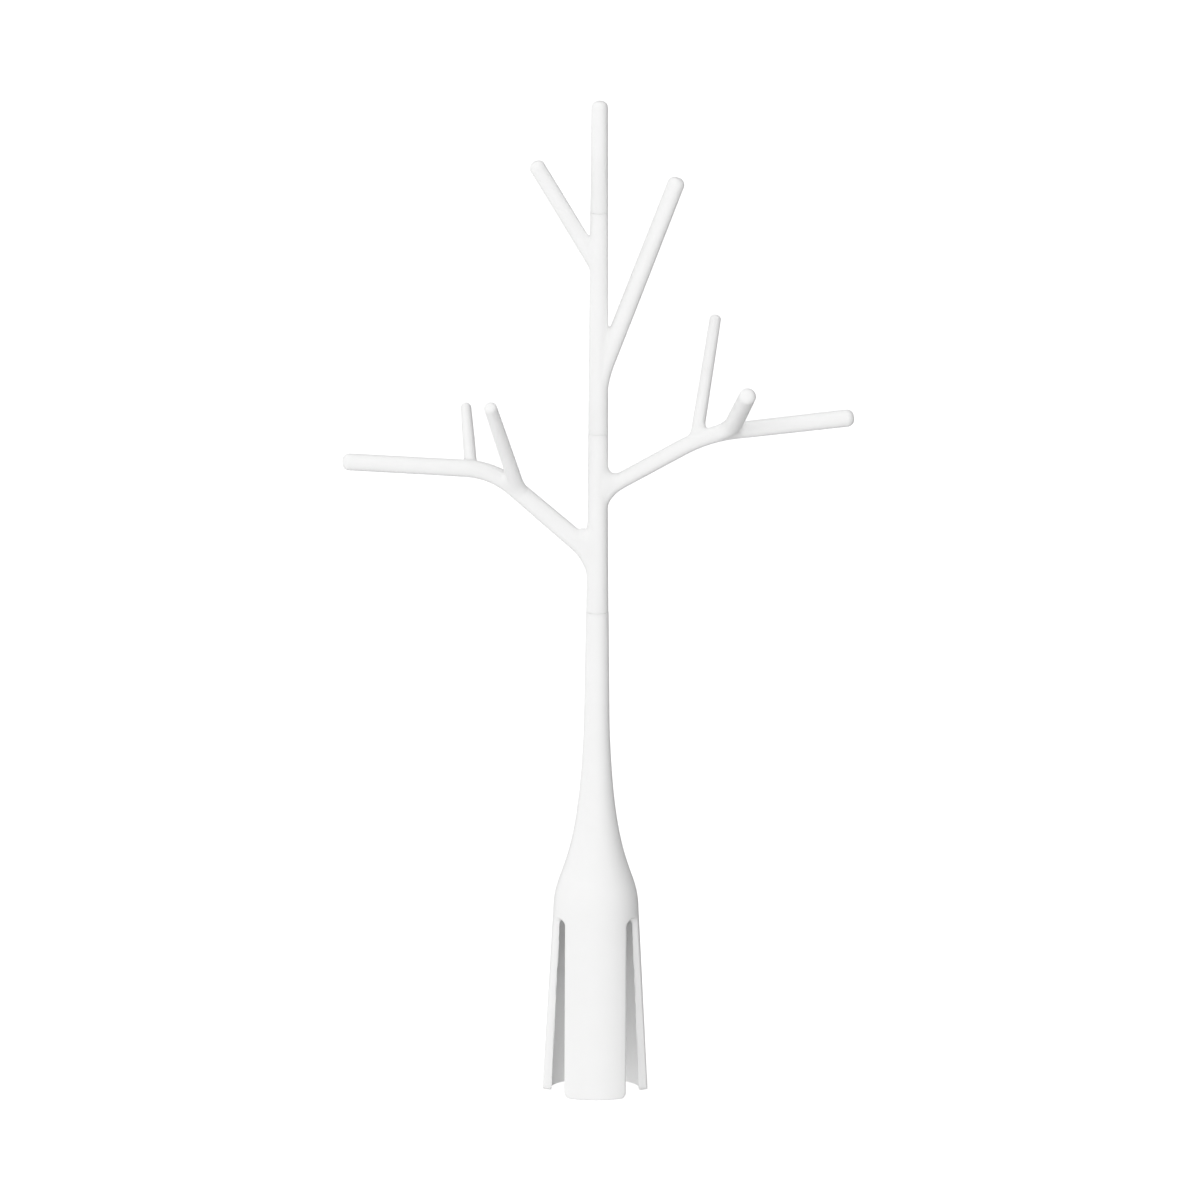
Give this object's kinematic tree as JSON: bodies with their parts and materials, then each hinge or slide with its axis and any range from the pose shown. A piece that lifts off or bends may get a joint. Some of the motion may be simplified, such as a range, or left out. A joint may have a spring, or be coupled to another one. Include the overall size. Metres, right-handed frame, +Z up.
{
  "type": "bottle drying rack",
  "caption": "Slim white branch-shaped drying rack: a three-legged foot flares up into a trunk, with round-ended twigs that hold nipples, valves and other small bottle parts.",
  "frame": {"origin": "on the trunk's axis, in the plane that the three legs stand on", "axes": "+Z up the trunk; the two main arms reach along +X and -X; the front leg and the front twigs point along -Y"},
  "size_m": [0.156, 0.054, 0.308],
  "materials": {
    "white_plastic": "satin"
  },
  "bodies": {
    "base": {"base_stem": "white_plastic"},
    "lower": {"lower_branch": "white_plastic"},
    "upper": {"upper_branch": "white_plastic"},
    "tip": {"top_tip": "white_plastic"}
  },
  "joints": [
    {"name": "lower_branch_swivel", "type": "hinge", "parent": "base", "child": "lower", "pos_m": [0, 0, 0.1495], "axis": [0, 0, 1], "continuous": true},
    {"name": "upper_branch_swivel", "type": "hinge", "parent": "lower", "child": "upper", "pos_m": [0, 0, 0.205], "axis": [0, 0, 1], "continuous": true},
    {"name": "top_tip_lift", "type": "slide", "parent": "upper", "child": "tip", "axis": [0, 0, 1], "range_m": [0, 0.012]}
  ]
}
